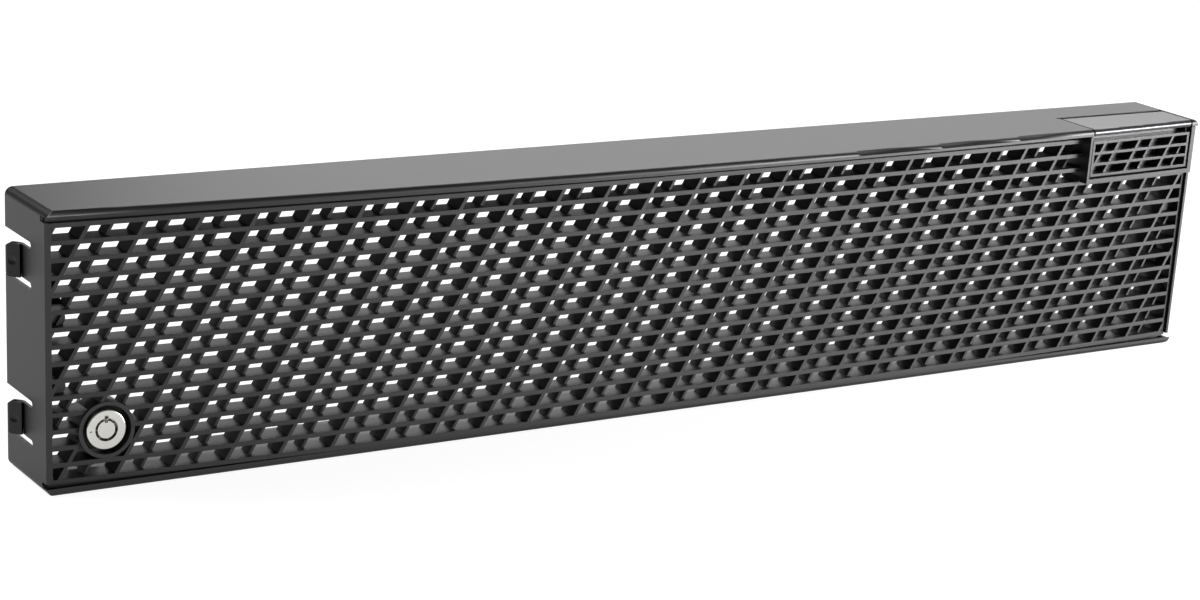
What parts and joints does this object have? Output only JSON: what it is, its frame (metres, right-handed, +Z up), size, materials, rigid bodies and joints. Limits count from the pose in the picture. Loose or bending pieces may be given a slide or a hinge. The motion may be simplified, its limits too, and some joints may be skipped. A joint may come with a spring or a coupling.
{
  "type": "server front bezel",
  "caption": "Lockable front cover for a rack server: folded sheet shell with side spring clips, bowed slatted grille, lift-up corner flap and tubular key lock.",
  "frame": {"origin": "on the floor plane under the bottom wall, half way along the width, in the plane of the shell's rear edges, which meet the chassis", "axes": "+X to the right seen from the front, +Y from the front towards the chassis, +Z up"},
  "size_m": [0.458, 0.0398, 0.087],
  "materials": {
    "painted_sheet": "satin, finely textured",
    "bezel_moulding": "fine texture",
    "flap_moulding": "fine texture",
    "bracket_black": "black powder coat",
    "screw_black": "black coated steel",
    "hinge_pin_steel": "bright",
    "lock_nickel": "bright nickel",
    "lock_nickel_plug": "bright nickel",
    "lock_pin_brass": "turned",
    "lock_washer_zinc": "zinc plated",
    "lock_nut_nickel": "nickel plated",
    "stop_disc_zinc": "zinc plated",
    "cam_zinc": "zinc plated",
    "cam_washer_zinc": "zinc plated",
    "cam_screw_zinc": "zinc plated"
  },
  "bodies": {
    "frame": {"shell": "painted_sheet", "grille": "bezel_moulding", "grille_brackets": "bracket_black", "grille_screws": "screw_black", "flap_hinge_pin": "hinge_pin_steel", "lock_housing": "lock_nickel", "lock_washer": "lock_washer_zinc", "lock_nut": "lock_nut_nickel"},
    "flap": {"flap": "flap_moulding"},
    "plug": {"lock_plug": "lock_nickel_plug", "lock_pins": "lock_pin_brass", "lock_stop_disc": "stop_disc_zinc", "lock_cam": "cam_zinc", "cam_washer": "cam_washer_zinc", "cam_screw": "cam_screw_zinc"}
  },
  "joints": [
    {"name": "flap_lift", "type": "hinge", "parent": "frame", "child": "flap", "pos_m": [0.198, -0.0173, 0.0847], "axis": [-1, 0, 0], "range_deg": [0, 85]},
    {"name": "key_turn", "type": "hinge", "parent": "frame", "child": "plug", "pos_m": [-0.2062, -0.02, 0.0185], "axis": [0, 1, 0], "range_deg": [0, 90]}
  ]
}
